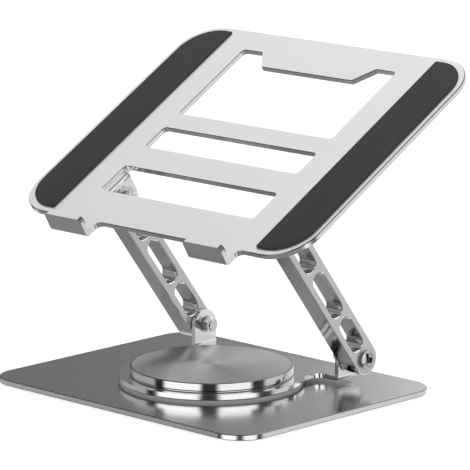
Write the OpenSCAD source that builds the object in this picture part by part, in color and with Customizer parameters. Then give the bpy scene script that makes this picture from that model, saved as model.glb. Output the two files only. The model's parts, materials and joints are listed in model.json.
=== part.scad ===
// Laptop stand: a tilting tray on two slotted arms, over a turntable that sits on a flat base plate.
// Frame: origin on the table under the turntable axis, +X to the right, +Y to the back, +Z up.

/* [Base] */
// Width of the base plate
base_w = 250; // [236:1:280]
// Depth of the base plate
base_d = 198.5; // [190:0.5:240]
// Thickness of the base plate
base_t = 4; // [3.5:0.1:6]
// Corner radius of the base plate
base_r = 22; // [15:1:40]
// Thickness of the anti-slip mat under the base plate
mat_t = 1.2; // [0.8:0.1:2.5]
// Distance from the base plate's edge to the mat's edge
mat_inset = 6; // [3:0.5:10]

/* [Turntable] */
// Gap between the base plate and the turning bracket, filled by the glide ring
glide_h = 2.6; // [2.2:0.1:3.5]
// Radius of the turning bracket's round plate
bracket_r = 65.5; // [63:0.5:70]
// Sheet thickness of the turning bracket
bracket_t = 3.2; // [2.5:0.1:3.6]
// Half width of the bracket where it runs back to the ears
neck_x = 53.5; // [50:0.5:58]
// Radius of the round cover
cover_r = 57.2; // [55:0.1:60]
// Height of the round cover
cover_h = 6.35; // [6:0.05:8]

/* [Arms] */
// Distance between an arm's two pivots
arm_len = 130; // [125:1:150]
// Width of an arm's side face
arm_w = 22; // [20:0.5:22.5]
// Thickness of an arm
arm_t = 15.5; // [13:0.5:17]
// Distance from the middle plane to an arm's inner face
arm_x = 72.55; // [72.55:0.05:76]
// Angle of the arms above level in the stored pose
arm_angle = 52.7; // [40:0.1:60]
// Width of the slots through an arm
slot_w = 12.2; // [8:0.1:13]
// Lower pivot: distance behind the turntable axis
lower_y = 63.35; // [62:0.05:68]
// Lower pivot: height above the base plate
lower_h = 19.2; // [18.4:0.1:24]

/* [Tray] */
// Width of the tray
tray_w = 272; // [268:1:300]
// Depth of the tray without its lips
tray_d = 217.8; // [214:0.2:240]
// Thickness of the tray
tray_t = 4; // [4:0.1:5]
// Corner radius of the tray
tray_r = 30; // [20:1:36]
// Pitch of the tray in the stored pose
tray_pitch = 30; // [10:1:40]
// Distance from the hinge axis forward to the tray's front edge
tray_front = 44.2; // [41:0.1:46]
// Distance from the hinge axis up to the tray's underside
tray_lift = 13.5; // [13.5:0.1:18]
// Width of the three windows
window_w = 148; // [144:1:150]
// Distance from the tray's side edges to the grip pads
pad_side = 4.3; // [3.5:0.1:6]
// Distance from the tray's front edge to the grip pads
pad_front = 5.3; // [3.5:0.1:8]
// Distance from the tray's rear edge to the grip pads
pad_rear = 4.5; // [3.5:0.1:8]
// Width of a grip pad
pad_w = 33.5; // [28:0.5:35]
// Thickness of a grip pad
pad_t = 1.2; // [0.8:0.1:2]

/* [Lips] */
// Width of each front lip
lip_w = 36; // [24:1:40]
// Distance from the middle plane to a lip's inner side
lip_x = 49.5; // [30:0.5:52]
// How far a lip stands out in front of the tray's front edge
lip_reach = 12.9; // [11:0.1:18]
// Height of a lip, measured from the tray's underside
lip_h = 15.5; // [12:0.5:20]

/* [Hinge hardware] */
// Shank radius of the hinge bolts
bolt_r = 4; // [3.5:0.05:4.2]
// Radius of the hinge bolts' domed heads
head_r = 6.7; // [6:0.1:7.2]
// Radial running clearance of every pivot
running = 0.05; // [0.03:0.01:0.1]
// Width across the flats of the hinge nuts
nut_af = 10; // [9.5:0.1:10.5]

/* [Hidden] */
$fn = 96;
eps = 0.01;
edge = 0.5;                                  // chamfer on the edges of plates and bars
base_top = mat_t + base_t;
bracket_z = base_top + glide_h;              // underside of the turning bracket
deck_z = bracket_z + bracket_t;              // top of the turning bracket
lower_z = base_top + lower_h;
upper_y = lower_y - arm_len * cos(arm_angle);
upper_z = lower_z + arm_len * sin(arm_angle);
tray_mid = tray_d / 2 - tray_front;
tray_top = tray_lift + tray_t;

washer_t = 0.75;                             // friction washer between an ear and an arm
ear_x = arm_x - washer_t;                    // outer face of every ear
low_ear_in = ear_x - bracket_t;
low_ear_r = 10.8;
bend_in = 1;                                 // inside radius of the sheet bends
top_ear_t = 2;
top_ear_in = ear_x - top_ear_t;
top_ear_r = 12.3;
flange_out = 104;                            // outer edge of the tray bracket's flange
flange_len = 38;

bush_r = 5.2;
bush_inset = 0.1;                            // a bush's end below the face that a washer rubs on
low_washer_r = 6.5;
top_washer_r = 9;
friction_r = 10;
backing_t = 1;                               // washer inside each ear
disc_spring_t = 0.6;
disc_spring_h = 1;
nut_t = 4.2;
bolt_end = 0.8;                              // bolt beyond its nut
head_rim = 2.4;                              // straight part of a bolt's head, under its dome
dome_h = 2;
socket_af = 5;
socket_depth = 3;
end_socket_af = 3.5;                         // small socket in a bolt's inner end
end_socket_depth = 1.5;
spring_x = backing_t;                        // washer, springs and nut, inwards from the ear's face
nut_x = spring_x + 2 * disc_spring_h;
bolt_x = nut_x + nut_t + bolt_end;

glide_in = 42;
glide_out = bracket_r - 1.2;
glide_gap = 0.8;                             // shadow gap under the bracket's rim
glide_gap_depth = 6;
stud_r = 7;
pivot_bush_r = 9;
stud_head_r = 12;
stud_head_h = 1.5;
stud_thread_r = 5;
thrust_t = 0.8;
stud_spring_h = 0.8;
stud_spring_t = 0.5;
stud_nut_t = 2;
stud_nut_af = 16;
thrust_r = 13;
neck_clear = 0.7;                            // shadow gap under the cover's rim
cover_top_t = 2.4;
cover_screw_ring = 30;
cover_screw_depth = 3.5;

slot_middle = 28;                            // arc centre to arc centre
slot_end = 17.5;
slot_end_pos = 39.6;                         // from the arm's middle to an end slot's middle

// Each window: its front edge and its rear edge, measured back from the hinge axis
windows = [[-13.2, 15.1], [36.4, 60], [75.7, 153.1]];
tab_front = 137.8;                           // front edge of the tab in the rear window
tab_w_front = 87;
tab_w_rear = 110;

screw_r = 1.5;                               // every small screw
screw_head_r = 2.8;
screw_head_h = 1.6;
screw_socket_r = 1.15;
screw_socket_h = 0.9;
screw_x = 97;                                // tray bracket screws, from the middle plane
screw_pitch = 13;
screw_depth = 3;

// ---- Shared shapes ----

// Rectangle with round corners, centred
module round_rect(w, d, r) {
    square([w - 2 * r, d], center = true);
    square([w, d - 2 * r], center = true);
    for (x = [-1, 1], y = [-1, 1])
        translate([x * (w / 2 - r), y * (d / 2 - r)]) circle(r);
}

// Thin layer whose outline draws in by c towards its top, made of prisms and corner cones
module chamfer_layer(w, d, r, c) {
    for (x = [-1, 1], y = [-1, 1])
        translate([x * (w / 2 - r), y * (d / 2 - r), 0]) cylinder(h = c, r1 = r, r2 = r - c);
    rotate([90, 0, 90])
        translate([0, 0, r - w / 2])
            linear_extrude(w - 2 * r)
                polygon([[-d / 2, 0], [d / 2, 0], [d / 2 - c, c], [c - d / 2, c]]);
    rotate([90, 0, 0])
        translate([0, 0, r - d / 2])
            linear_extrude(d - 2 * r)
                polygon([[-w / 2, 0], [w / 2, 0], [w / 2 - c, c], [c - w / 2, c]]);
}

// Plate with round corners and a small chamfer round both faces; its underside is at z = 0
module soft_plate(w, d, t, r, c) {
    translate([0, 0, c]) linear_extrude(t - 2 * c) round_rect(w, d, r);
    translate([0, 0, t - c]) chamfer_layer(w, d, r, c);
    translate([0, 0, c]) mirror([0, 0, 1]) chamfer_layer(w, d, r, c);
}

// Cylinder along X from x0 to x1
module across(x0, x1, r) {
    translate([x0, 0, 0]) rotate([0, 90, 0]) cylinder(h = x1 - x0, r = r);
}

// Straight-sided sheet from x0 to x1, drawn in the plane of Y and Z
module sheet_x(x0, x1) {
    translate([x0, 0, 0]) rotate([90, 0, 90]) linear_extrude(x1 - x0) children();
}

// Shapes are drawn for the right-hand side; the left-hand side is their mirror image
module left() { mirror([1, 0, 0]) children(); }
module right() { children(); }

// Moves a shape to the lower pivot axis
module at_lower() { translate([0, lower_y, lower_z]) children(); }

// Moves a shape to the upper pivot axis, in the tray's own slope
module at_upper() { translate([0, upper_y, upper_z]) rotate([tray_pitch, 0, 0]) children(); }

// ---- Base ----

module base_plate() {
    color("#8f9193")
        difference() {
            translate([0, 0, mat_t]) soft_plate(base_w, base_d, base_t, base_r, edge);
            cylinder(h = base_top + 1, r = stud_r);
            cylinder(h = mat_t + stud_head_h, r = stud_head_r);
        }
}

module base_mat() {
    color("#26282a")
        linear_extrude(mat_t)
            round_rect(base_w - 2 * mat_inset, base_d - 2 * mat_inset, base_r - mat_inset);
}

// Flat plastic ring that the turning bracket slides on, with a shadow gap under the bracket's rim
module glide_ring() {
    color("#9b9ea8")
        translate([0, 0, base_top])
            rotate_extrude()
                polygon([
                    [glide_in, 0], [glide_out, 0], [glide_out, glide_h - glide_gap],
                    [glide_out - glide_gap_depth, glide_h - glide_gap],
                    [glide_out - glide_gap_depth, glide_h], [glide_in, glide_h]
                ]);
}

// Shouldered stud, from its head in the base plate up to the thread under the cover
module pivot_stud() {
    color("#b9bbbe") {
        translate([0, 0, mat_t]) cylinder(h = stud_head_h, r = stud_head_r);
        translate([0, 0, mat_t]) cylinder(h = deck_z + 0.3 - mat_t, r = stud_r);
        translate([0, 0, mat_t])
            cylinder(h = deck_z + thrust_t + stud_spring_h + stud_nut_t + 0.2 - mat_t, r = stud_thread_r);
    }
}

module thrust_washer() {
    color("#d8d6cc")
        translate([0, 0, deck_z])
            difference() {
                cylinder(h = thrust_t, r = thrust_r);
                translate([0, 0, -1]) cylinder(h = thrust_t + 2, r = stud_r + running);
            }
}

// Dished spring washer: h high over all, t thick, from radius r0 to radius r1
module disc_spring(r0, r1, h, t) {
    rotate_extrude() polygon([[r0, h - t], [r1, 0], [r1, t], [r0, h]]);
}

module stud_spring() {
    color("#a9abae")
        translate([0, 0, deck_z + thrust_t])
            disc_spring(stud_thread_r + 0.2, 12, stud_spring_h, stud_spring_t);
}

module stud_nut() {
    color("#b9bbbe")
        translate([0, 0, deck_z + thrust_t + stud_spring_h])
            difference() {
                cylinder(h = stud_nut_t, r = stud_nut_af / 2 / cos(30), $fn = 6);
                translate([0, 0, -1]) cylinder(h = stud_nut_t + 2, r = stud_thread_r);
            }
}

// ---- Turntable ----

// Outline of the bracket's flat part: a disc, a neck running back and two wings
module deck_outline() {
    wing_in = low_ear_in - bend_in;
    fillet = 6;
    front_y = lower_y - low_ear_r;
    circle(bracket_r);
    translate([-neck_x, 0]) square([2 * neck_x, lower_y + low_ear_r]);
    translate([-wing_in, front_y]) square([2 * wing_in, 2 * low_ear_r]);
    for (s = [-1, 1])
        scale([s, 1])
            translate([neck_x, front_y - fillet])
                difference() {
                    square(fillet);
                    translate([fillet, 0]) circle(fillet);
                }
}

// Ear and bend on the right-hand side of the bracket
module deck_ear() {
    at_lower()
        sheet_x(low_ear_in, ear_x) {
            circle(low_ear_r);
            translate([-low_ear_r, deck_z + bend_in - lower_z])
                square([2 * low_ear_r, lower_z - deck_z - bend_in]);
        }
    translate([low_ear_in - bend_in, lower_y + low_ear_r, deck_z + bend_in])
        rotate([90, 0, 0])
            linear_extrude(2 * low_ear_r)
                intersection() {
                    difference() {
                        circle(bend_in + bracket_t);
                        circle(bend_in);
                    }
                    translate([0, -bend_in - bracket_t]) square(bend_in + bracket_t);
                }
}

module turntable_bracket() {
    color("#d5d7da")
        difference() {
            union() {
                translate([0, 0, bracket_z]) linear_extrude(bracket_t) deck_outline();
                right() deck_ear();
                left() deck_ear();
            }
            translate([0, 0, bracket_z - 1]) cylinder(h = bracket_t + 2, r = pivot_bush_r);
            at_lower() across(-ear_x - 1, ear_x + 1, bolt_r);
            cover_screw_places()
                translate([0, 0, bracket_z - 1]) cylinder(h = bracket_t + 2, r = screw_r);
        }
}

module pivot_bush() {
    color("#b08d57")
        translate([0, 0, bracket_z])
            difference() {
                cylinder(h = bracket_t - bush_inset, r = pivot_bush_r);
                translate([0, 0, -1]) cylinder(h = bracket_t + 2, r = stud_r + running);
            }
}

module cover_screw_places() {
    for (a = [90, 210, 330])
        rotate([0, 0, a]) translate([cover_screw_ring, 0, 0]) children();
}

// Round cover: a shallow cap with three bosses, standing on the bracket
module turntable_cover() {
    inner_h = cover_h - cover_top_t;
    color("#c4c6c9")
        translate([0, 0, deck_z])
            difference() {
                union() {
                    difference() {
                        rotate_extrude()
                            polygon([
                                [0, 0], [cover_r - 1, 0], [cover_r - 1, neck_clear - edge],
                                [cover_r, neck_clear + edge], [cover_r, cover_h - edge],
                                [cover_r - edge, cover_h], [0, cover_h]
                            ]);
                        translate([0, 0, -1]) cylinder(h = inner_h + 1, r = cover_r - 5);
                    }
                    cover_screw_places() cylinder(h = inner_h + 1, r = 4.5);
                }
                cover_screw_places()
                    translate([0, 0, -1]) cylinder(h = inner_h + 1, r = screw_r);
            }
}

// Small screw, head down: its head hangs below z = 0 and its shank stands up from there
module small_screw(shank_h) {
    cylinder(h = shank_h, r = screw_r);
    translate([0, 0, -screw_head_h])
        difference() {
            cylinder(h = screw_head_h, r = screw_head_r);
            translate([0, 0, -1]) cylinder(h = screw_socket_h + 1, r = screw_socket_r, $fn = 6);
        }
}

module cover_screws() {
    color("#8a8c8f")
        cover_screw_places() translate([0, 0, bracket_z]) small_screw(bracket_t + cover_screw_depth);
}

// ---- Hinge hardware, on the X axis; in_x is the inner face of the ear it clamps ----

// Socket cutter for a hexagon key, af across its flats, along X from x0 to x1
module key_socket(x0, x1, af) {
    translate([x0, 0, 0]) rotate([0, 90, 0]) cylinder(h = x1 - x0, r = af / 2 / cos(30), $fn = 6);
}

// Domed head with a hexagon socket, and a shank that runs in to the nut
module hinge_bolt(in_x) {
    out_x = arm_x + arm_t;
    head_h = head_rim + dome_h;
    dome_r = (head_r * head_r + dome_h * dome_h) / (2 * dome_h);
    end_x = in_x - bolt_x;
    color("#dcdee0")
        difference() {
            union() {
                across(end_x, out_x + eps, bolt_r);
                translate([out_x, 0, 0])
                    rotate([0, 90, 0])
                        rotate_extrude()
                            intersection() {
                                translate([0, head_h - dome_r]) circle(dome_r);
                                square([head_r, head_h]);
                            }
            }
            key_socket(out_x + head_h - socket_depth, out_x + head_h + 1, socket_af);
            key_socket(end_x - 1, end_x + end_socket_depth, end_socket_af);
        }
}

module hinge_nut(in_x) {
    color("#c9cbce")
        translate([in_x - nut_x - nut_t, 0, 0])
            rotate([0, 90, 0])
                difference() {
                    intersection() {
                        cylinder(h = nut_t, r = nut_af / 2 / cos(30), $fn = 6);
                        cylinder(h = nut_t, r1 = nut_af / 2 + 0.1, r2 = nut_af / 2 + 0.1 + nut_t);
                    }
                    translate([0, 0, -1]) cylinder(h = nut_t + 2, r = bolt_r);
                }
}

module hinge_washer(in_x, r) {
    color("#e2e3e5")
        difference() {
            across(in_x - backing_t, in_x, r);
            across(in_x - backing_t - 1, in_x + 1, bolt_r);
        }
}

// Two disc springs, back to back: they meet at their outer rims
module hinge_springs(in_x) {
    color("#9c9ea1")
        translate([in_x - spring_x - disc_spring_h, 0, 0])
            rotate([0, 90, 0])
                for (turn = [0, 180])
                    rotate([turn, 0, 0]) disc_spring(bolt_r + 0.1, 5.4, disc_spring_h, disc_spring_t);
}

module friction_washer(r) {
    color("#2a2b2d")
        difference() {
            across(ear_x, arm_x, r);
            across(ear_x - 1, arm_x + 1, bolt_r + running);
        }
}

// ---- Arms ----

// Bar with round ends along X of its own drawing plane, chamfered round both faces
module soft_bar(len, w, t, c) {
    r = w / 2;
    translate([0, 0, c])
        linear_extrude(t - 2 * c) {
            square([len, w], center = true);
            for (s = [-1, 1]) translate([s * len / 2, 0]) circle(r);
        }
    for (face = [0, 1])
        translate([0, 0, face == 0 ? c : t - c])
            mirror([0, 0, 1 - face]) {
                for (s = [-1, 1]) translate([s * len / 2, 0, 0]) cylinder(h = c, r1 = r, r2 = r - c);
                rotate([90, 0, 90])
                    translate([0, 0, -len / 2])
                        linear_extrude(len) polygon([[-r, 0], [r, 0], [r - c, c], [c - r, c]]);
            }
}

// Cutter for a slot that opens out by c at both faces of a bar t thick
module flared_slot(len, w, t, c) {
    r = w / 2;
    translate([0, 0, -1])
        linear_extrude(t + 2) {
            square([len, w], center = true);
            for (s = [-1, 1]) translate([s * len / 2, 0]) circle(r);
        }
    for (face = [0, 1])
        translate([0, 0, face * t])
            mirror([0, 0, 1 - face]) {
                for (s = [-1, 1])
                    translate([s * len / 2, 0, -c]) cylinder(h = c + eps, r1 = r, r2 = r + c + eps);
                rotate([90, 0, 90])
                    translate([0, 0, -len / 2])
                        linear_extrude(len)
                            polygon([[-r, -c], [r, -c], [r + c + eps, eps], [-r - c - eps, eps]]);
            }
}

// Arm from the lower pivot up and forward to the upper pivot
module arm() {
    color("#cfd1d4")
        translate([arm_x, (lower_y + upper_y) / 2, (lower_z + upper_z) / 2])
            rotate([180 - arm_angle, 0, 0])
                rotate([90, 0, 90])
                    difference() {
                        soft_bar(arm_len, arm_w, arm_t, edge);
                        flared_slot(slot_middle, slot_w, arm_t, edge);
                        for (s = [-1, 1]) {
                            translate([s * slot_end_pos, 0, 0])
                                flared_slot(slot_end, slot_w, arm_t, edge);
                            translate([s * arm_len / 2, 0, -1]) cylinder(h = arm_t + 2, r = bush_r);
                        }
                    }
}

module arm_bush() {
    color("#b08d57")
        difference() {
            across(arm_x + bush_inset, arm_x + arm_t, bush_r);
            across(arm_x - 1, arm_x + arm_t + 1, bolt_r + running);
        }
}

// ---- Tray ----

// Rear window's tab: a trapezium that reaches forward from the rear edge
module tab_outline() {
    rear = windows[2][1];
    polygon([
        [-tab_w_rear / 2, rear + 1], [-tab_w_rear / 2, rear], [-tab_w_front / 2, tab_front],
        [tab_w_front / 2, tab_front], [tab_w_rear / 2, rear], [tab_w_rear / 2, rear + 1]
    ]);
}

module window_outline(i) {
    front = windows[i][0];
    rear = windows[i][1];
    difference() {
        translate([0, (front + rear) / 2]) round_rect(window_w, rear - front, 3);
        if (i == 2) tab_outline();
    }
}

// Lip on the right-hand side, with the tongue that carries it and the fillets at its root
module lip() {
    fillet = 4;
    corner = 3.5;
    bend = 1.8;
    front = -tray_front - lip_reach;
    intersection() {
        translate([lip_x, 0, tray_lift])
            rotate([90, 0, 90])
                linear_extrude(lip_w)
                    union() {
                        difference() {
                            translate([front, 0]) square([lip_reach + edge + 1, tray_t]);
                            translate([front, 0]) square(bend);
                        }
                        translate([front + bend, bend]) circle(bend);
                        translate([front, bend]) square([tray_t, lip_h - bend]);
                        translate([front + tray_t, tray_t])
                            difference() {
                                square(1.5);
                                translate([1.5, 1.5]) circle(1.5);
                            }
                    }
        translate([lip_x + lip_w / 2, 0, tray_lift])
            rotate([90, 0, 0])
                linear_extrude(tray_front + lip_reach + 1) {
                    translate([-lip_w / 2, -1]) square([lip_w, lip_h + 1 - corner]);
                    translate([corner - lip_w / 2, 0]) square([lip_w - 2 * corner, lip_h]);
                    for (s = [-1, 1])
                        translate([s * (lip_w / 2 - corner), lip_h - corner]) circle(corner);
                }
    }
    for (s = [-1, 1])
        translate([lip_x + lip_w / 2 + s * lip_w / 2, -tray_front, tray_lift])
            linear_extrude(tray_t)
                scale([s, 1])
                    translate([0, -fillet])
                        difference() {
                            square([fillet, fillet + edge + eps]);
                            translate([fillet, 0]) circle(fillet);
                        }
}

module tray_plate() {
    color("#d3d5d7")
        at_upper()
            difference() {
                union() {
                    translate([0, tray_mid, tray_lift]) soft_plate(tray_w, tray_d, tray_t, tray_r, edge);
                    right() lip();
                    left() lip();
                }
                translate([0, 0, tray_lift - 1])
                    linear_extrude(tray_t + 2)
                        for (i = [0:2]) window_outline(i);
                for (s = [-1, 1])
                    scale([s, 1, 1])
                        bracket_screw_places()
                            translate([0, 0, tray_lift - 1]) cylinder(h = screw_depth + 1, r = screw_r);
            }
}

// Pad on the right-hand side: its outer edge follows the tray's outline
module tray_pad() {
    pad_d = tray_d - pad_front - pad_rear;
    corner = tray_r - 3.5;
    outer_x = tray_w / 2 - pad_side;
    color("#3c3d3f")
        at_upper()
            translate([0, tray_mid + (pad_front - pad_rear) / 2, tray_top])
                linear_extrude(pad_t)
                    intersection() {
                        round_rect(2 * outer_x, pad_d, corner);
                        translate([outer_x - pad_w, -pad_d / 2]) square([pad_w, pad_d]);
                    }
}

module bracket_screw_places() {
    for (i = [-1:1]) translate([screw_x, i * screw_pitch, 0]) children();
}

// L-shaped bracket: an ear inside the arm, and a flange that reaches out under the tray
module tray_bracket() {
    bend_out = bend_in + top_ear_t;
    color("#d5d7da")
        at_upper()
            difference() {
                union() {
                    sheet_x(top_ear_in, ear_x) {
                        circle(top_ear_r);
                        translate([-top_ear_r, 0]) square([2 * top_ear_r, tray_lift - bend_out]);
                    }
                    translate([top_ear_in + bend_out, top_ear_r, tray_lift - bend_out])
                        rotate([90, 0, 0])
                            linear_extrude(2 * top_ear_r)
                                intersection() {
                                    difference() {
                                        circle(bend_out);
                                        circle(bend_in);
                                    }
                                    translate([-bend_out, 0]) square(bend_out);
                                }
                    translate([top_ear_in + bend_out, -flange_len / 2, tray_lift - top_ear_t])
                        cube([flange_out - top_ear_in - bend_out, flange_len, top_ear_t]);
                }
                across(top_ear_in - 1, ear_x + 1, bolt_r + running);
                bracket_screw_places() cylinder(h = tray_lift + 1, r = screw_r);
            }
}

module bracket_screws() {
    color("#b9bbbe")
        at_upper()
            bracket_screw_places()
                translate([0, 0, tray_lift - top_ear_t]) small_screw(top_ear_t + screw_depth);
}

// ---- Nodes ----

base_plate();
base_mat();
glide_ring();
pivot_stud();
thrust_washer();
stud_spring();
stud_nut();
turntable_bracket();
turntable_cover();
cover_screws();
pivot_bush();
left() at_lower() hinge_bolt(low_ear_in);  // left_lower_bolt
right() at_lower() hinge_bolt(low_ear_in);  // right_lower_bolt
left() at_lower() hinge_nut(low_ear_in);  // left_lower_nut
right() at_lower() hinge_nut(low_ear_in);  // right_lower_nut
left() at_lower() hinge_washer(low_ear_in, low_washer_r);  // left_lower_washer
right() at_lower() hinge_washer(low_ear_in, low_washer_r);  // right_lower_washer
left() at_lower() hinge_springs(low_ear_in);  // left_lower_springs
right() at_lower() hinge_springs(low_ear_in);  // right_lower_springs
left() at_lower() friction_washer(friction_r);  // left_lower_friction_washer
right() at_lower() friction_washer(friction_r);  // right_lower_friction_washer
left() arm();  // left_arm
right() arm();  // right_arm
left() at_lower() arm_bush();  // left_lower_bush
right() at_lower() arm_bush();  // right_lower_bush
left() at_upper() arm_bush();  // left_upper_bush
right() at_upper() arm_bush();  // right_upper_bush
left() at_upper() hinge_bolt(top_ear_in);  // left_upper_bolt
right() at_upper() hinge_bolt(top_ear_in);  // right_upper_bolt
left() at_upper() hinge_nut(top_ear_in);  // left_upper_nut
right() at_upper() hinge_nut(top_ear_in);  // right_upper_nut
left() at_upper() hinge_washer(top_ear_in, top_washer_r);  // left_upper_washer
right() at_upper() hinge_washer(top_ear_in, top_washer_r);  // right_upper_washer
left() at_upper() hinge_springs(top_ear_in);  // left_upper_springs
right() at_upper() hinge_springs(top_ear_in);  // right_upper_springs
left() at_upper() friction_washer(friction_r);  // left_upper_friction_washer
right() at_upper() friction_washer(friction_r);  // right_upper_friction_washer
tray_plate();
left() tray_pad();  // left_tray_pad
right() tray_pad();  // right_tray_pad
left() tray_bracket();  // left_tray_bracket
right() tray_bracket();  // right_tray_bracket
left() bracket_screws();  // left_bracket_screws
right() bracket_screws();  // right_bracket_screws
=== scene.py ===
# %% [markdown]
# # A folding laptop stand
# A windowed tray is carried by two slotted arms, which fold on friction hinges over a turntable. All the
# metal parts come finished in shape from the mechanical model. This lesson gives them their surfaces, and
# builds the few pieces whose small detail the mechanical model leaves out: the rubber pads and the mat,
# the screws and the hinge bolts.

import json
import math

import bmesh
import bpy
from mathutils import Matrix, Vector


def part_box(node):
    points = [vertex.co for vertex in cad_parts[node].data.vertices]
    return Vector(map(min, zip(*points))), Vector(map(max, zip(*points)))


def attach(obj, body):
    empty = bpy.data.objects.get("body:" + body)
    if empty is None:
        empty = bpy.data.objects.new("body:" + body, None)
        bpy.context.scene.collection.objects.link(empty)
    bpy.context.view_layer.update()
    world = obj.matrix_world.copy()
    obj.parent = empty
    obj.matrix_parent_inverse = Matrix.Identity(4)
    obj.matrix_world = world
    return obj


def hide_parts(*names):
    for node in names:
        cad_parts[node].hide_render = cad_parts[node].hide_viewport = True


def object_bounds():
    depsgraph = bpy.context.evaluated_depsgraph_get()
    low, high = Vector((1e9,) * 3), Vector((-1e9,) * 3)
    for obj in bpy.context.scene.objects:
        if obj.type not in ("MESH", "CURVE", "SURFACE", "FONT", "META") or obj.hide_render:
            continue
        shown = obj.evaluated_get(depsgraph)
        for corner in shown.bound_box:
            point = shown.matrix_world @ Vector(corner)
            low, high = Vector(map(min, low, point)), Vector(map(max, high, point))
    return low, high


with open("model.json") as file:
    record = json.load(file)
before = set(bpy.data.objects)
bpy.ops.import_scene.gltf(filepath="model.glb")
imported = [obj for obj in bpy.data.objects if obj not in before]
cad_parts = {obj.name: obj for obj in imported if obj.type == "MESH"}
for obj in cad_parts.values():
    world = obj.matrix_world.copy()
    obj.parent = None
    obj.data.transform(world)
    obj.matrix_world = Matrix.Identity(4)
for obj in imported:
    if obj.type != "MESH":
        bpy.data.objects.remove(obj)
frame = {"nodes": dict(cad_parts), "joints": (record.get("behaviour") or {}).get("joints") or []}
cad_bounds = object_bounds()
MM = 0.001

# %% [markdown]
# ## The camera
# The stand is seen from its front right corner and from a little above, through a long lens, so its far
# edges are nearly parallel to its near ones. The camera's place is measured from the middle of the base
# plate's top, and the direction it looks in is given by two angles.

# %% Set up the camera
CAMERA_AZIMUTH = math.radians(44.167)
CAMERA_ELEVATION = math.radians(11.722)
CAMERA_OFFSET = Vector((1.7756, -1.8047, 0.6294))
SENSOR_WIDTH = 36
LENS = 285.4

base_top = Vector((0, 0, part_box("base_plate")[1].z))
camera_data = bpy.data.cameras.new("camera")
camera_data.sensor_width = SENSOR_WIDTH
camera_data.lens = LENS
camera = bpy.data.objects.new("camera", camera_data)
bpy.context.scene.collection.objects.link(camera)
bpy.context.scene.camera = camera
back = Vector((
    math.sin(CAMERA_AZIMUTH) * math.cos(CAMERA_ELEVATION),
    -math.cos(CAMERA_AZIMUTH) * math.cos(CAMERA_ELEVATION),
    math.sin(CAMERA_ELEVATION),
))
camera.location = base_top + CAMERA_OFFSET
camera.rotation_mode = "QUATERNION"
camera.rotation_quaternion = (-back).to_track_quat("-Z", "Y")
print("camera at", [round(v, 3) for v in camera.location])

# %% [markdown]
# ## Shader maths as Python
# A material is a tree of nodes, and a tree is slow to read as a list of links. So one small class wraps a
# node's output and lets Python's own operators add the Math nodes. `1 - mask` then means what it says.
# Every other kind of node comes from the one method `node`.

# %% Wrap a socket
class Field:
    """A value that varies over a surface or with direction."""

    def __init__(self, tree, socket=None):
        self.tree = tree
        self.socket = socket

    def node(self, kind, settings=None, inputs=None, out=0):
        made = self.tree.nodes.new(kind)
        for name, value in (settings or {}).items():
            if name == "stops":
                set_stops(made.color_ramp, value)
            else:
                setattr(made, name, value)
        for key, value in (inputs or {}).items():
            if isinstance(value, Field):
                self.tree.links.new(value.socket, made.inputs[key])
            else:
                made.inputs[key].default_value = value
        return Field(self.tree, made.outputs[out])

    def math(self, operation, *others):
        values = dict(enumerate((self, *others)))
        return self.node("ShaderNodeMath", {"operation": operation}, values)

    def vector(self, operation, other, out=0):
        return self.node("ShaderNodeVectorMath", {"operation": operation}, {0: self, 1: other}, out)

    def axis(self, index):
        return self.node("ShaderNodeSeparateXYZ", None, {0: self}, index)

    def step(self, low, high):
        """0 below low, 1 above high, and smooth between them."""
        settings = {"interpolation_type": "SMOOTHSTEP"}
        return self.node("ShaderNodeMapRange", settings, {0: self, 1: low, 2: high})

    def blend(self, low, high):
        """Goes from low to high as this value goes from 0 to 1. Low and high are colours."""
        settings = {"data_type": "RGBA"}
        return self.node("ShaderNodeMix", settings, {0: self, 6: low, 7: high}, 2)

    def __add__(self, other):
        return self.math("ADD", other)

    __radd__ = __add__

    def __sub__(self, other):
        return self.math("SUBTRACT", other)

    def __rsub__(self, other):
        return self.node("ShaderNodeMath", {"operation": "SUBTRACT"}, {0: other, 1: self})

    def __mul__(self, other):
        return self.math("MULTIPLY", other)

    __rmul__ = __mul__

    def __abs__(self):
        return self.math("ABSOLUTE")


def set_stops(ramp, stops):
    while len(ramp.elements) < len(stops):
        ramp.elements.new(1)
    for element, (place, value) in zip(ramp.elements, stops):
        element.position = place
        element.color = (value, value, value, 1)


def grey(value, warmth=0.0):
    return (value * (1 + warmth), value, value * (1 - warmth), 1)


print("shader maths ready")

# %% [markdown]
# ## Starting a material
# Every finish here ends in one Principled node. A number that is the same all over a piece is written on
# the node itself, and what varies is linked to it: the colour, the roughness, and the bump's normal.
# Patterns read Object coordinates. Each piece keeps its place in its mesh, so a pattern stays put on it
# when the stand folds.

# %% A new material
def new_material(name, **uniform):
    """Returns the material's start Field and a function that links its varying values."""
    material = bpy.data.materials.new(name)
    material.use_nodes = True
    tree = material.node_tree
    tree.nodes.clear()
    shader = tree.nodes.new("ShaderNodeBsdfPrincipled")
    output = tree.nodes.new("ShaderNodeOutputMaterial")
    tree.links.new(shader.outputs[0], output.inputs[0])
    for key, value in uniform.items():
        shader.inputs[key.replace("_", " ")].default_value = value

    def finish(colour, roughness, height, depth):
        tree.links.new(colour.socket, shader.inputs["Base Color"])
        tree.links.new(roughness.socket, shader.inputs["Roughness"])
        bump = height.node("ShaderNodeBump", None, {"Distance": depth, "Height": height})
        tree.links.new(bump.socket, shader.inputs["Normal"])
        return material

    return Field(tree), finish


def places(start):
    return start.node("ShaderNodeTexCoord", None, None, 3)


def facing(start, direction):
    """1 where the surface faces along the direction, 0 where it lies along it."""
    normal = start.node("ShaderNodeTexCoord", None, None, 1)
    return abs(normal.vector("DOT_PRODUCT", tuple(direction), 1))


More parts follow.
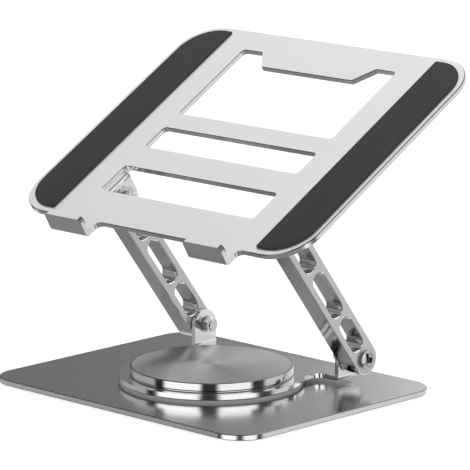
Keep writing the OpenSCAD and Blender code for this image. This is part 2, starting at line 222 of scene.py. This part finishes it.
def noise(where, grain, detail=2.0):
    """Cloudy noise from 0 to 1, whose clouds are about one grain across, in metres."""
    inputs = {"Vector": where, "Scale": 1 / grain, "Detail": detail}
    return where.node("ShaderNodeTexNoise", None, inputs)


print("materials ready")

# %% [markdown]
# ## Blasted and cut metal
# The tray, the arms and the base are anodised sheet and bar. Glass beads are blown at their broad faces,
# which leaves a fine, even, matt grain. The edges, windows and slots are then cut with a sharp tool, so
# they are smoother and mirror their surroundings in hard streaks. One finish holds both: the angle
# between the surface and the piece's broad side says which of the two a point has. The colour of the cut
# faces is partly the metal's own and partly painted light and shade, lighter or darker per piece. The
# small chamfers between them get a painted edge: mostly a dark painted shade, on some pieces a lighter
# tone. Faint clouds in the roughness are what handling leaves on such a surface.
#
# Each pair of numbers below is a cosine of the angle to the broad side, between which one kind of surface
# passes into the next.

# %% The blasted and cut finish
CHAMFER_BEGINS = (0.25, 0.6)
CHAMFER_ENDS = (0.85, 0.97)
BROAD_BEGINS = (0.93, 0.99)


def blasted_and_cut(name, broad_side, tone, blast_roughness, cut_roughness, cut_face_colour_and_painted_light, chamfer_colour_and_painted_light,
                    rim=None):
    start, finish = new_material(name, Metallic=1.0)
    where = places(start)
    flat = facing(start, broad_side)
    blasted = flat.step(*BROAD_BEGINS)
    # Painted light on the chamfers: this mask picks them, and the edge colour paints them, mostly as a dark painted
    # shade.
    chamfer_and_painted_light_mask = flat.step(*CHAMFER_BEGINS) * (1 - flat.step(*CHAMFER_ENDS))
    # On the tray the mask also takes the top of the windows' walls, where a dark band of painted shade goes.
    if rim is not None:
        chamfer_and_painted_light_mask = chamfer_and_painted_light_mask.math("MAXIMUM", rim(where) * (1 - blasted))
    grain = noise(where, 0.35 * MM, 3)
    clouds = noise(where, 28 * MM, 4)
    roughness = cut_roughness + blasted * (blast_roughness - cut_roughness)
    roughness = roughness + (grain - 0.5) * 0.06 * blasted + (clouds - 0.5) * 0.02
    # Cut faces take the cut colour, partly the metal's own and partly painted light and shade, set per piece for how
    # those faces look lit.
    shade = blasted * (0.3 + 0.5 * grain) + 0.2 * clouds
    colour = chamfer_and_painted_light_mask.blend(shade.blend(grey(cut_face_colour_and_painted_light), grey(tone)), grey(chamfer_colour_and_painted_light))
    tool_marks = noise(where, 1.1 * MM, 1)
    height = grain * blasted + tool_marks * (1 - blasted) * 0.15
    return finish(colour, roughness, height, depth=0.004 * MM)


print("blasted and cut finish ready")

# %% [markdown]
# ## Spun metal
# The turntable's cover is turned on a lathe. The tool leaves rings too fine to see one by one, and they
# stretch every reflection across themselves, so light gathers in spokes that meet at the middle. The
# shader's own anisotropy does that. It takes its direction round the piece's middle, which is where the
# turntable's axis is. A few coarser rings are added as a bump of the distance to the axis, and a thin dark
# line of painted shade runs round the outer edge of the top.

# %% The spun finish
RING_PITCH = 0.5 * MM
PAINTED_SHADE_RING = (1.3 * MM, 0.9 * MM)
PAINTED_SHADE_TONE = 0.12


def spun(name, tone, roughness, outer_radius):
    start, finish = new_material(name, Metallic=1.0, Anisotropic=0.85)
    where = places(start)
    flat_place = where.vector("MULTIPLY", (1, 1, 0))
    radius = flat_place.node("ShaderNodeVectorMath", {"operation": "LENGTH"}, {0: flat_place}, 1)
    settings = {"noise_dimensions": "1D"}
    inputs = {"W": radius, "Scale": 1 / RING_PITCH, "Detail": 3.0}
    rings = radius.node("ShaderNodeTexNoise", settings, inputs)
    clouds = noise(where, 20 * MM, 3)
    varied = roughness + (rings - 0.5) * 0.04 + (clouds - 0.5) * 0.02
    colour = (0.6 * rings + 0.4 * clouds).blend(grey(tone * 0.93), grey(tone))
    # A thin dark ring of painted shade round the outer edge of the top.
    edge = radius.step(outer_radius - PAINTED_SHADE_RING[0], outer_radius - PAINTED_SHADE_RING[1])
    return finish(edge.blend(colour, grey(PAINTED_SHADE_TONE)), varied, rings, depth=0.001 * MM)


print("spun finish ready")

# %% [markdown]
# ## Small turned parts
# Bolts, nuts, washers and screws are turned from bar and polished. They are mirror-like, with fine rings
# and a few darker smears of oil and handling where the polish is broken.

# %% The turned finish
def turned(name, tone, roughness, warmth=0.0):
    start, finish = new_material(name, Metallic=1.0)
    where = places(start)
    smears = noise(where, 4 * MM, 3)
    marks = noise(where.vector("MULTIPLY", (1, 0.15, 0.15)), 0.25 * MM, 2)
    varied = roughness + (smears - 0.5) * 0.10 + (marks - 0.5) * 0.06
    colour = smears.step(0.2, 0.6).blend(grey(tone * 0.78, warmth), grey(tone, warmth))
    return finish(colour, varied, marks, depth=0.004 * MM)


print("turned finish ready")

# %% [markdown]
# ## Rubber and plastic
# The pads and the mat are dark silicone rubber with a fine moulded grain. The friction washers and the
# thrust washer are black plastic, a little smoother, and the glide ring is bluish grey plastic. All are
# the same finish with other numbers: a grain for the bump, and slow clouds that make one place a little
# duller than the next, as dust does.

# %% The moulded finish
def moulded(name, tone, roughness, grain_size, depth, warmth=0.0):
    start, finish = new_material(name, Specular_IOR_Level=0.35)
    where = places(start)
    grain = noise(where, grain_size, 3)
    dust = noise(where, 15 * MM, 4)
    varied = roughness + (dust - 0.5) * 0.15 + (grain - 0.5) * 0.12
    colour = (0.5 * dust + 0.5 * grain).blend(grey(tone * 0.75, warmth), grey(tone * 1.25, warmth))
    return finish(colour, varied, grain, depth)


print("moulded finish ready")

# %% [markdown]
# ## The slope of the tray
# Several pieces lie in the tray's slope, so their shapes are made level and then turned into place. The
# slope is measured from a grip pad, which lies flat on the tray: the faces that point upward are summed
# by area, and the direction of the sum is the tray's up. The hinge axis is the origin of the tray's own
# coordinates.

# %% Measure the tray's slope
UPWARD = 0.5


def main_direction(node):
    """The mean direction of the node's upward faces, weighted by their areas."""
    total = Vector((0, 0, 0))
    for face in frame["nodes"][node].data.polygons:
        if face.normal.z > UPWARD:
            total += face.normal * face.area
    return total.normalized()


joints = {joint["name"]: joint for joint in frame["joints"]}
hinge = Vector(joints["tray_tilt"]["pos_m"])
tray_up = main_direction("left_tray_pad")
pitch = math.atan2(-tray_up.y, tray_up.z)
tray_place = Matrix.Translation(hinge) @ Matrix.Rotation(pitch, 4, "X")
to_tray = tray_place.inverted()
print(f"the tray is pitched by {math.degrees(pitch):.1f} degrees")

# %% Helpers for new pieces
SHARP_ANGLE = math.radians(35)


def node_box_in(node, place):
    """Lowest and highest corner of a node in another coordinate frame."""
    points = [place @ vertex.co for vertex in frame["nodes"][node].data.vertices]
    low = Vector(min(point[i] for point in points) for i in range(3))
    high = Vector(max(point[i] for point in points) for i in range(3))
    return low, high


def piece_from(name, mesh, material):
    piece = bpy.data.objects.new(name, mesh)
    bpy.context.scene.collection.objects.link(piece)
    mesh.materials.clear()
    mesh.materials.append(material)
    return piece


def mesh_of_loops(name, loops, place=Matrix.Identity(4)):
    """A closed skin through loops with equally many points, with a flat face at both ends."""
    shape = bmesh.new()
    rows = [[shape.verts.new(place @ Vector(point)) for point in loop] for loop in loops]
    count = len(rows[0])
    for row, next_row in zip(rows, rows[1:]):
        for i in range(count):
            j = (i + 1) % count
            shape.faces.new((row[i], row[j], next_row[j], next_row[i]))
    shape.faces.new(list(reversed(rows[0])))
    shape.faces.new(rows[-1])
    bmesh.ops.recalc_face_normals(shape, faces=shape.faces)
    mesh = bpy.data.meshes.new(name)
    shape.to_mesh(mesh)
    shape.free()
    mesh.shade_smooth()
    mesh.set_sharp_from_angle(angle=SHARP_ANGLE)
    return mesh


print("helpers ready")

# %% [markdown]
# ## The grip pads
# Two strips of rubber keep the computer from slipping. Their outer corners follow the tray's, their inner
# corners are almost sharp, and the upper edge is rounded all the way round. The outline is four arcs. The
# same four arcs, drawn in by a small amount and lifted, give each step of the rounded edge.

# %% Build the grip pads
PAD_EDGE = 0.6 * MM
PAD_EDGE_STEPS = 4
ARC_STEPS = 24
OUTER_CORNER = 26.5 * MM
INNER_CORNER = 1.5 * MM


def rounded_outline(low, high, radii, inset, height):
    """Points round a rectangle, from its front right corner. Each corner has its own radius."""
    points = []
    corners = [(high.x, low.y), (high.x, high.y), (low.x, high.y), (low.x, low.y)]
    inward = [(-1, 1), (-1, -1), (1, -1), (1, 1)]
    for turn, (corner, side, radius) in enumerate(zip(corners, inward, radii)):
        centre = (corner[0] + side[0] * radius, corner[1] + side[1] * radius)
        for step in range(ARC_STEPS + 1):
            angle = math.radians(90 * (turn - 1) + 90 * step / ARC_STEPS)
            reach = radius - inset
            x = centre[0] + reach * math.cos(angle)
            y = centre[1] + reach * math.sin(angle)
            points.append((x, y, height))
    return points


def edge_profile(bottom, top, edge):
    """(inset, height) pairs from the foot of a wall over its rounded upper edge."""
    profile = [(0, bottom)]
    for step in range(PAD_EDGE_STEPS + 1):
        angle = math.radians(90 * step / PAD_EDGE_STEPS)
        profile.append((edge * (1 - math.cos(angle)), top - edge * (1 - math.sin(angle))))
    return profile


rubber = moulded("grip_rubber", tone=0.044, roughness=0.62, grain_size=0.3 * MM, depth=0.02 * MM)
for side in ("left", "right"):
    low, high = node_box_in(f"{side}_tray_pad", to_tray)
    outer, inner = OUTER_CORNER, INNER_CORNER
    radii = (outer, outer, inner, inner) if side == "right" else (inner, inner, outer, outer)
    loops = [
        rounded_outline(low, high, radii, inset, height)
        for inset, height in edge_profile(low.z, high.z, PAD_EDGE)
    ]
    pad = piece_from(f"{side}_grip_pad", mesh_of_loops("pad", loops, tray_place), rubber)
    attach(pad, "tray")
    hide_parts(f"{side}_tray_pad")
    print(pad.name, "is", [round(v / MM, 1) for v in high - low], "mm")

# %% [markdown]
# ## Geometry Nodes for what repeats
# Screws and the mat's nubs repeat, so each is modelled once and a Geometry Nodes tree sets out its
# copies. `Grower` wraps the work of building such a tree: named inputs first, then nodes, then the
# Realize Instances and Set Material nodes that every tree here ends in. `grow` sets the inputs by their
# identifiers, evaluates the tree once, and keeps the result as a plain mesh.

# %% Build and run a node tree
class Grower:
    def __init__(self, name, inputs):
        self.tree = bpy.data.node_groups.new(name, "GeometryNodeTree")
        for label, kind in inputs.items():
            self.tree.interface.new_socket(label, in_out="INPUT", socket_type=kind)
        self.tree.interface.new_socket("Geometry", in_out="OUTPUT", socket_type="NodeSocketGeometry")
        self.given = self.tree.nodes.new("NodeGroupInput")

    def node(self, kind, settings=None, inputs=None):
        made = self.tree.nodes.new(kind)
        for name, value in (settings or {}).items():
            setattr(made, name, value)
        for key, value in (inputs or {}).items():
            if isinstance(value, bpy.types.NodeSocket):
                self.tree.links.new(value, made.inputs[key])
            else:
                made.inputs[key].default_value = value
        return made

    def finish(self, geometry):
        real = self.node("GeometryNodeRealizeInstances", None, {0: geometry})
        coated = self.node("GeometryNodeSetMaterial", None, {0: real.outputs[0]})
        self.tree.links.new(self.given.outputs["Material"], coated.inputs["Material"])
        output = self.tree.nodes.new("NodeGroupOutput")
        self.tree.links.new(coated.outputs[0], output.inputs[0])


def grow(name, grower, values):
    """Runs the tree once with these values and returns the result as a plain piece."""
    holder = bpy.data.objects.new(name + "_holder", bpy.data.meshes.new(name))
    bpy.context.scene.collection.objects.link(holder)
    modifier = holder.modifiers.new("grow", "NODES")
    modifier.node_group = grower.tree
    for item in grower.tree.interface.items_tree:
        if item.in_out == "INPUT":
            modifier[item.identifier] = values[item.name]
    graph = bpy.context.evaluated_depsgraph_get()
    mesh = bpy.data.meshes.new_from_object(holder.evaluated_get(graph), depsgraph=graph)
    bpy.data.objects.remove(holder)
    piece = bpy.data.objects.new(name, mesh)
    bpy.context.scene.collection.objects.link(piece)
    return piece


print("node trees can be grown")

# %% [markdown]
# ## The mat under the base
# A rubber mat with rows of low nubs keeps the stand from sliding. A grid gives the places, and the places
# that fall outside the mat's rounded outline are dropped by the usual rule for a rounded rectangle. Each
# nub is a shallow dome with few faces, because there are hundreds of them.

# %% Build the mat
NUB_HEIGHT = 0.3 * MM
NUB_RADIUS = 2.2 * MM
NUB_PITCH = 8 * MM
MAT_CORNER = 16 * MM
NUB_SIDES = 10
NUB_RINGS = (1.0, 0.8, 0.45)
NUB_ROUNDNESS = 0.999
CORNER_SLACK = 1.02


def dome_mesh(radius, height, sides):
    """A shallow dome that hangs down from z = 0, cut flat at its lowest ring."""
    loops = []
    for share in NUB_RINGS:
        depth = -height * math.sqrt(1 - share * share * NUB_ROUNDNESS)
        angles = [math.tau * i / sides for i in range(sides)]
        loops.append([
            (radius * share * math.cos(angle), radius * share * math.sin(angle), depth)
            for angle in angles
        ])
    return mesh_of_loops("nub", loops)


nubs_tree = Grower("nub_grid", {
    "Nub": "NodeSocketObject",
    "Width": "NodeSocketFloat",
    "Depth": "NodeSocketFloat",
    "Columns": "NodeSocketInt",
    "Rows": "NodeSocketInt",
    "Corner": "NodeSocketFloat",
    "Height": "NodeSocketFloat",
    "Material": "NodeSocketMaterial",
})


def outside_corner(grower, position):
    """True where a point of the grid lies beyond the round corner that its outermost points span."""
    given = grower.given.outputs

    def value(operation, a, b=0.0):
        return grower.node("ShaderNodeMath", {"operation": operation}, {0: a, 1: b}).outputs[0]

    parts = grower.node("ShaderNodeSeparateXYZ", None, {0: position})
    past = []
    for index, size in enumerate(("Width", "Depth")):
        straight = value("SUBTRACT", value("MULTIPLY", given[size], 0.5), given["Corner"])
        beyond = value("SUBTRACT", value("ABSOLUTE", parts.outputs[index]), straight)
        past.append(value("MAXIMUM", beyond))
    square = value("ADD", value("POWER", past[0], 2.0), value("POWER", past[1], 2.0))
    limit = value("MULTIPLY", given["Corner"], CORNER_SLACK)
    return value("GREATER_THAN", value("SQRT", square), limit)


def wire_nubs(grower):
    given = grower.given.outputs
    grid = grower.node("GeometryNodeMeshGrid", None, {
        "Size X": given["Width"], "Size Y": given["Depth"],
        "Vertices X": given["Columns"], "Vertices Y": given["Rows"],
    })
    position = grower.node("GeometryNodeInputPosition").outputs[0]
    kept = grower.node("GeometryNodeDeleteGeometry", {"domain": "POINT"}, {
        "Geometry": grid.outputs[0], "Selection": outside_corner(grower, position),
    })
    lift = grower.node("ShaderNodeCombineXYZ", None, {2: given["Height"]})
    placed = grower.node("GeometryNodeSetPosition", None, {0: kept.outputs[0], "Offset": lift.outputs[0]})
    nub = grower.node("GeometryNodeObjectInfo", None, {0: given["Nub"]})
    copies = grower.node("GeometryNodeInstanceOnPoints", None, {
        "Points": placed.outputs[0], "Instance": nub.outputs["Geometry"],
    })
    grower.finish(copies.outputs[0])


wire_nubs(nubs_tree)
mat_rubber = moulded("mat_rubber", tone=0.03, roughness=0.7, grain_size=0.5 * MM, depth=0.03 * MM)
mat_low, mat_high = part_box("base_mat")
nub = piece_from("nub", dome_mesh(NUB_RADIUS, NUB_HEIGHT, NUB_SIDES), mat_rubber)
nub_width = mat_high.x - mat_low.x - NUB_PITCH
nub_depth = mat_high.y - mat_low.y - NUB_PITCH
nubs = grow("mat_nubs", nubs_tree, {
    "Nub": nub,
    "Width": nub_width,
    "Depth": nub_depth,
    "Columns": round(nub_width / NUB_PITCH) + 1,
    "Rows": round(nub_depth / NUB_PITCH) + 1,
    "Corner": MAT_CORNER - NUB_PITCH / 2,
    "Height": mat_low.z + NUB_HEIGHT,
    "Material": mat_rubber,
})
bpy.data.objects.remove(nub)
sheet_loops = [
    rounded_outline(mat_low, mat_high, (MAT_CORNER,) * 4, 0, height)
    for height in (mat_low.z + NUB_HEIGHT, mat_high.z)
]
mat = piece_from("anti_slip_mat", mesh_of_loops("mat", sheet_loops), mat_rubber)
for piece in (mat, nubs):
    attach(piece, "base")
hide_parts("base_mat")
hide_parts("base_mat")
print(f"the mat has {len(nubs.data.polygons) // (2 * NUB_SIDES + 2)} nubs")

# %% [markdown]
# ## Screws and hinge bolts
# All the fasteners are button heads with a hexagon socket and a rolled thread. A fastener is a stack of
# rings along its own axis, from its tip up over the head and down into the socket: round rings for the
# shank, the thread and the dome, and six-sided rings for the socket. The thread is drawn as separate
# grooves, because a true helix can't be told from them at this size.

# %% Shape a fastener
RING_STEPS = 48
THREAD_PITCH = 1.0 * MM
THREAD_DEPTH = 0.12
GROOVE_BOTTOM = 0.4
GROOVE_END = 0.8
DOME_STEPS = 6
SOCKET_SHARE = 0.32
BREAK = 0.25 * MM


def ring(radius, height, six_sided=False):
    points = []
    for i in range(RING_STEPS):
        angle = math.tau * i / RING_STEPS
        reach = radius
        if six_sided:
            reach = radius / math.cos((angle + math.pi / 6) % (math.pi / 3) - math.pi / 6)
        points.append((reach * math.cos(angle), reach * math.sin(angle), height))
    return points


def fastener_mesh(name, shank, length, thread, head, rim, dome, socket_depth):
    """Head on z = 0 and above, shank below it. All the values are metres."""
    loops = [ring(shank - 2 * BREAK, -length), ring(shank, 2 * BREAK - length)]
    height = 3 * BREAK - length
    while height + THREAD_PITCH < thread - length:
        loops.append(ring(shank, height))
        loops.append(ring(shank * (1 - THREAD_DEPTH), height + GROOVE_BOTTOM * THREAD_PITCH))
        loops.append(ring(shank, height + GROOVE_END * THREAD_PITCH))
        height += THREAD_PITCH
    loops += [ring(shank, 0), ring(head - BREAK, 0), ring(head, BREAK), ring(head, rim)]
    mouth = head * SOCKET_SHARE
    bulge = (head * head + dome * dome) / (2 * dome)
    for step in range(1, DOME_STEPS + 1):
        radius = head + (mouth + BREAK - head) * step / DOME_STEPS
        loops.append(ring(radius, rim + dome - bulge + math.sqrt(bulge * bulge - radius * radius)))
    top = loops[-1][0][2]
    loops.append(ring(mouth, top - BREAK, True))
    loops.append(ring(mouth, top - socket_depth, True))
    return mesh_of_loops(name, loops)


print("a fastener can be made")

# %% [markdown]
# The hinge bolts stand alone, so each is one mesh, turned to point sideways. The screws come in threes:
# three under each side of the tray, in a row, and three under the cover, in a circle. One tree sets out
# both kinds.
# Copy number i is moved by i steps and turned by i angles, so the row has a step and no angle, and the
# circle has an angle and no step.

# %% Set out the screws and bolts
polished = turned("polished_steel", tone=0.86, roughness=0.12)
plain_steel = turned("plain_steel", tone=0.74, roughness=0.20)

screw_tree = Grower("screw_row", {
    "Screw": "NodeSocketObject",
    "Count": "NodeSocketInt",
    "Step": "NodeSocketVector",
    "Turn": "NodeSocketFloat",
    "Material": "NodeSocketMaterial",
})


def wire_screws(grower):
    given = grower.given.outputs
    line = grower.node("GeometryNodeMeshLine", {"mode": "OFFSET"}, {
        "Count": given["Count"], "Offset": given["Step"],
    })
    index = grower.node("GeometryNodeInputIndex").outputs[0]
    angle = grower.node("ShaderNodeMath", {"operation": "MULTIPLY"}, {0: index, 1: given["Turn"]})
    euler = grower.node("ShaderNodeCombineXYZ", None, {2: angle.outputs[0]})
    rotation = grower.node("FunctionNodeEulerToRotation", None, {0: euler.outputs[0]})
    screw = grower.node("GeometryNodeObjectInfo", None, {0: given["Screw"]})
    copies = grower.node("GeometryNodeInstanceOnPoints", None, {
        "Points": line.outputs[0], "Instance": screw.outputs["Geometry"], "Rotation": rotation.outputs[0],
    })
    grower.finish(copies.outputs[0])


wire_screws(screw_tree)
SCREWS_IN_SET = 3
SCREW_HEAD = 2.8 * MM
SCREW_SHANK = 1.5 * MM
SCREW_RIM = 0.7 * MM
SCREW_DOME = 0.9 * MM
SCREW_SOCKET = 1.0 * MM
HEAD_DOWN = Matrix.Rotation(math.pi, 4, "X")


def set_screws(name, replaced, body, low, high, step, turn, place):
    """A set of screws, heads down. The box holds the first of them."""
    length = high.z - low.z - SCREW_RIM - SCREW_DOME
    mesh = fastener_mesh("screw", SCREW_SHANK, length, length,
                         SCREW_HEAD, SCREW_RIM, SCREW_DOME, SCREW_SOCKET)
    seat = Vector(((low.x + high.x) / 2, (low.y + high.y) / 2, low.z + SCREW_RIM + SCREW_DOME))
    mesh.transform(Matrix.Translation(seat) @ HEAD_DOWN)
    master = piece_from("screw", mesh, plain_steel)
    row = grow(name, screw_tree, {
        "Screw": master, "Count": SCREWS_IN_SET, "Step": step, "Turn": turn, "Material": plain_steel,
    })
    bpy.data.objects.remove(master)
    row.data.transform(place)
    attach(row, body)
    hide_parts(replaced)
    print(name, "has", len(row.data.polygons), "faces")


for side in ("left", "right"):
    low, high = node_box_in(f"{side}_bracket_screws", to_tray)
    pitch_between = (high.y - low.y - 2 * SCREW_HEAD) / (SCREWS_IN_SET - 1)
    high.y = low.y + 2 * SCREW_HEAD
    set_screws(f"{side}_tray_screws", f"{side}_bracket_screws", "tray",
               low, high, (0, pitch_between, 0), 0, tray_place)

low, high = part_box("cover_screws")
low = Vector((-SCREW_HEAD, high.y - 2 * SCREW_HEAD, low.z))
high.x = SCREW_HEAD
set_screws("underside_screws", "cover_screws", "turntable",
           low, high, (0, 0, 0), math.tau / SCREWS_IN_SET, Matrix.Identity(4))

# %% Fit the hinge bolts
HEAD_RIM = 2.4 * MM
HEAD_DOME = 2.0 * MM
HEAD_RADIUS = 6.7 * MM
BOLT_RADIUS = 4.0 * MM
HEAD_SOCKET = 3 * MM
BOLT_THREAD = 9 * MM
# The bolt heads' side walls get a dark painted reflection of the dark surroundings (cut tone 0.22), and their
# chamfers a grey painted edge.
bolt_steel = blasted_and_cut("bolt_steel", (1, 0, 0), tone=0.92, blast_roughness=0.07,
                             cut_roughness=0.10, cut_face_colour_and_painted_light=0.22, chamfer_colour_and_painted_light=0.55)

for side, outward in (("left", -1), ("right", 1)):
    for level, body in (("lower", "turntable"), ("upper", "hinge_pins")):
        low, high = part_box(f"{side}_{level}_bolt")
        middle = (low + high) / 2
        length = high.x - low.x - HEAD_RIM - HEAD_DOME
        seat_x = (high.x if outward > 0 else low.x) - outward * (HEAD_RIM + HEAD_DOME)
        mesh = fastener_mesh("hinge_bolt", BOLT_RADIUS, length, BOLT_THREAD,
                             HEAD_RADIUS, HEAD_RIM, HEAD_DOME, HEAD_SOCKET)
        place = Matrix.Translation((seat_x, middle.y, middle.z))
        mesh.transform(place @ Matrix.Rotation(outward * math.pi / 2, 4, "Y"))
        bolt = piece_from(f"{side}_{level}_hinge_bolt", mesh, bolt_steel)
        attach(bolt, body)
        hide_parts(f"{side}_{level}_bolt")
        print(bolt.name, "is", round(length / MM, 1), "mm long under its head")

# %% [markdown]
# ## Finishes for the mechanical model's own nodes
# The rest of the stand keeps its mechanical shape. Each of its large metal pieces gets a finish that
# knows which way its broad side faces: up for the base and the turntable, square to the tray's slope for
# the tray and its brackets, and sideways for the arms. A narrow dark band of painted shade runs along the
# top of the windows' walls. The cover has two finishes: its flat top is spun, and its rim is cut.

# %% Give the nodes their finishes
def coat(material, *names):
    for name in names:
        slots = frame["nodes"][name].data.materials
        slots.clear()
        slots.append(material)


def both(name):
    return f"left_{name}", f"right_{name}"


UP, SIDE = Vector((0, 0, 1)), Vector((1, 0, 0))
RIM_WIDTH = 0.7 * MM
RIM_FADE = 0.6
RIM_CUTOFF = 0.1 * MM
TOP_FACING = 0.95
pad_low = node_box_in("left_tray_pad", to_tray)[0]
tray_back = tray_place.to_3x3() @ Vector((0, 1, 0))
rim_level = hinge.dot(tray_up) + pad_low.z
rim_start = hinge.dot(tray_back) + pad_low.y


def painted_window_shade(where):
    """1 on a narrow band at the top of the windows' walls, where a dark painted shade goes, 0 elsewhere."""
    level = where.vector("DOT_PRODUCT", tuple(tray_up), 1)
    along = where.vector("DOT_PRODUCT", tuple(tray_back), 1)
    band = level.step(rim_level - RIM_WIDTH, rim_level - RIM_FADE * RIM_WIDTH)
    below_top = 1 - level.step(rim_level, rim_level + RIM_CUTOFF)
    return band * below_top * along.step(rim_start, rim_start + MM)


# The cut and edge tones below are partly painted light and shade: each piece's sides and chamfers are set lighter or
# darker for how they look lit, such as the darker arm sides and the dark chamfer lines on the base, tray and cover
# rim.
tray_metal = blasted_and_cut("tray_metal", tray_up, tone=0.85, blast_roughness=0.40,
                             cut_roughness=0.16, cut_face_colour_and_painted_light=0.88, chamfer_colour_and_painted_light=0.16, rim=painted_window_shade)
arm_metal = blasted_and_cut("arm_metal", SIDE, tone=0.84, blast_roughness=0.38,
                            cut_roughness=0.10, cut_face_colour_and_painted_light=0.50, chamfer_colour_and_painted_light=1.0)
base_metal = blasted_and_cut("base_metal", UP, tone=0.64, blast_roughness=0.17,
                             cut_roughness=0.20, cut_face_colour_and_painted_light=0.80, chamfer_colour_and_painted_light=0.20)
turntable_metal = blasted_and_cut("turntable_metal", UP, tone=0.56, blast_roughness=0.20,
                                  cut_roughness=0.12, cut_face_colour_and_painted_light=0.94, chamfer_colour_and_painted_light=0.60)
bracket_metal = blasted_and_cut("bracket_metal", tray_up, tone=0.86, blast_roughness=0.30,
                                cut_roughness=0.16, cut_face_colour_and_painted_light=0.86, chamfer_colour_and_painted_light=0.86)
spun_cover = spun("spun_cover", tone=0.70, roughness=0.24,
                  outer_radius=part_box("turntable_cover")[1].x)
cover_rim = blasted_and_cut("cover_rim", UP, tone=0.70, blast_roughness=0.12,
                            cut_roughness=0.07, cut_face_colour_and_painted_light=0.86, chamfer_colour_and_painted_light=0.30)
coat(tray_metal, "tray_plate")
coat(arm_metal, *both("arm"))
coat(base_metal, "base_plate")
coat(turntable_metal, "turntable_bracket")
coat(bracket_metal, *both("tray_bracket"))
coat(spun_cover, "turntable_cover")
cover_mesh = frame["nodes"]["turntable_cover"].data
cover_mesh.materials.append(cover_rim)
for face in cover_mesh.polygons:
    face.material_index = 0 if face.normal.z > TOP_FACING else 1
spring_steel = turned("spring_steel", tone=0.45, roughness=0.30)
brass = turned("bush_brass", tone=0.62, roughness=0.24, warmth=0.28)
black_plastic = moulded("black_plastic", tone=0.02, roughness=0.42,
                        grain_size=0.4 * MM, depth=0.008 * MM)
glide_plastic = moulded("glide_plastic", tone=0.52, roughness=0.35,
                        grain_size=0.4 * MM, depth=0.004 * MM, warmth=-0.08)
coat(polished, *both("lower_nut"), *both("upper_nut"))
coat(plain_steel, *both("lower_washer"), *both("upper_washer"), "pivot_stud", "stud_nut")
coat(spring_steel, *both("lower_springs"), *both("upper_springs"), "stud_spring")
coat(brass, "pivot_bush", *both("lower_bush"), *both("upper_bush"))
coat(glide_plastic, "glide_ring")
coat(black_plastic, "thrust_washer")
coat(black_plastic, *both("lower_friction_washer"), *both("upper_friction_washer"))
print("all nodes have a finish")

# %% [markdown]
# ## Floor and light
# What makes metal look like metal is what it mirrors. The stand is shown in a tent of white cloth, lit
# from outside, which is not the same all round. Its wall is a row of soft panels and dark gaps, which give the round
# rims their streaks, and a large panel overhead and to the rear lights the tray. The tent is a background
# of directions, not of lamps: a colour ramp holds the wall's brightness round the compass, from the left
# through the front and the right to the rear. The camera itself sees only white.

# %% Build the light tent
# (degrees from the front towards the right, brightness)
WALL = (
    (-180, 0.80), (-152, 1.05), (-142, 1.15), (-139.4, 0.85), (-137, 0.26), (-134, 0.18), (-118, 0.14),
    (-90, 0.50), (-60, 0.50), (-45, 0.52), (-40, 0.01), (-29, 0.01), (-23, 1.5), (26, 1.5), (32, 0.02),
    (50, 0.03), (57, 1.4), (99, 1.4), (105, 0.01), (121, 0.02), (128, 0.82), (180, 0.80),
)
FRONT_ROOF = 0.24
REAR_ROOF = 1.22
ROOF_SPLIT = (0.0, 0.14)
ROOF_BEGINS = (0.36, 0.58)


def build_tent():
    world = bpy.data.worlds.new("light_tent")
    bpy.context.scene.world = world
    world.use_nodes = True
    tree = world.node_tree
    tree.nodes.clear()
    start = Field(tree)
    direction = start.node("ShaderNodeTexCoord", None, None, 0)
    x, y, z = (direction.axis(i) for i in range(3))
    turn = x.math("ARCTAN2", 0 - y) * (0.5 / math.pi) + 0.5
    stops = [(0.5 + angle / 360, brightness) for angle, brightness in WALL]
    wall = turn.node("ShaderNodeValToRGB", {"stops": stops}, {0: turn}).axis(0)
    roof = FRONT_ROOF + y.step(*ROOF_SPLIT) * (REAR_ROOF - FRONT_ROOF)
    height = z.step(*ROOF_BEGINS)
    light = wall * (1 - height) + roof * height
    lit = light.node("ShaderNodeCombineColor", None, {0: light, 1: light, 2: light})
    seen = start.node("ShaderNodeLightPath", None, None, 0)
    shown = seen.blend(lit, grey(1))
    background = tree.nodes.new("ShaderNodeBackground")
    output = tree.nodes.new("ShaderNodeOutputWorld")
    tree.links.new(shown.socket, background.inputs[0])
    tree.links.new(background.outputs[0], output.inputs[0])


build_tent()
print("light tent built, with", len(WALL), "stops round its wall")

# %% [markdown]
# The floor is a sheet of polished white acrylic. To the camera it is plain and pale, with only a faint
# shadow. To the metal above it, it is a mirror, so the tent's panels carry on below the horizon.

# %% Lay the floor
FLOOR_HALF = 6.0
FLOOR_GLOW = 0.88
FLOOR_TONE = 0.4
MIRROR_TONE = 0.92
MIRROR_ROUGHNESS = 0.12


def floor_material():
    material = bpy.data.materials.new("pale_floor")
    material.use_nodes = True
    tree = material.node_tree
    tree.nodes.clear()
    start = Field(tree)
    seen = start.node("ShaderNodeLightPath", None, None, 0)
    polish = {"Color": grey(MIRROR_TONE), "Roughness": MIRROR_ROUGHNESS}
    mirror = start.node("ShaderNodeBsdfGlossy", None, polish)
    pale = start.node("ShaderNodeBsdfDiffuse", None, {0: grey(FLOOR_TONE)})
    glow = start.node("ShaderNodeEmission", None, {0: grey(1), 1: FLOOR_GLOW})
    bright = start.node("ShaderNodeAddShader", None, {0: pale, 1: glow})
    mixed = start.node("ShaderNodeMixShader", None, {0: seen, 1: mirror, 2: bright})
    output = tree.nodes.new("ShaderNodeOutputMaterial")
    tree.links.new(mixed.socket, output.inputs[0])
    return material


floor_mesh = bpy.data.meshes.new("floor")
floor_height = cad_bounds[0].z
sides = ((-1, -1), (1, -1), (1, 1), (-1, 1))
corners = [(x * FLOOR_HALF, y * FLOOR_HALF, floor_height) for x, y in sides]
floor_mesh.from_pydata(corners, [], [(0, 1, 2, 3)])
floor = piece_from("floor", floor_mesh, floor_material())
bpy.context.scene.view_settings.view_transform = "Standard"
print("floor at height", round(floor_height, 4))
